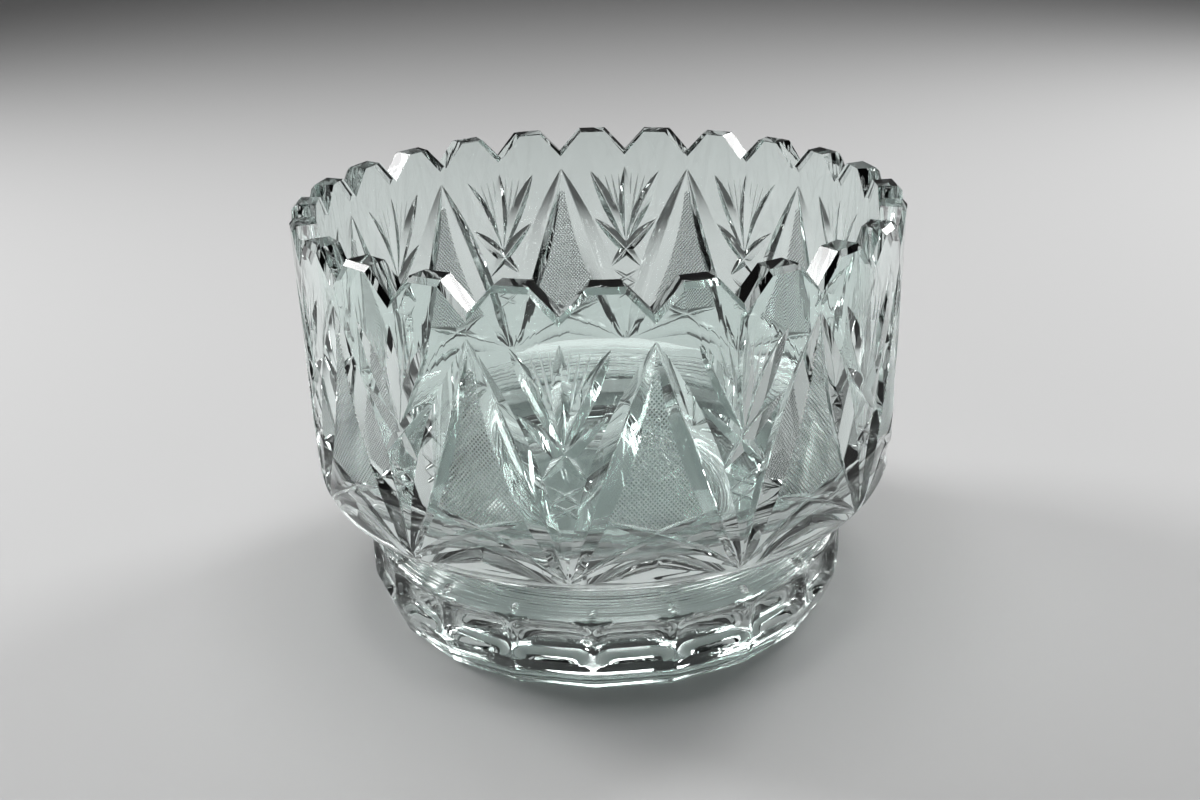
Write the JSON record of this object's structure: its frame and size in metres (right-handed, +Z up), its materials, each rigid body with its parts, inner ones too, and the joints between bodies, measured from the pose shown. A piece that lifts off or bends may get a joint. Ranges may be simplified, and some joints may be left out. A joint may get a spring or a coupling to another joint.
{
  "type": "cut crystal bowl",
  "caption": "Deep round bowl of cut lead crystal with a toothed rim, tall hatched triangles between fans, and a heavy solid foot with twenty thumbprints.",
  "frame": {"origin": "centre of the foot's base circle, on the surface that the bowl stands on", "axes": "+Z up along the bowl's axis of rotation; -Y towards the middle of one hatched triangle of the cut band"},
  "size_m": [0.18, 0.18, 0.1263],
  "materials": {
    "lead_crystal": "clear polished lead crystal with acid-polished cuts; the fine hatching looks frosted through its small facets, and the thick foot has a faint grey-green depth colour"
  },
  "bodies": {
    "root": {"vessel": "lead_crystal", "foot": "lead_crystal"}
  },
  "joints": []
}
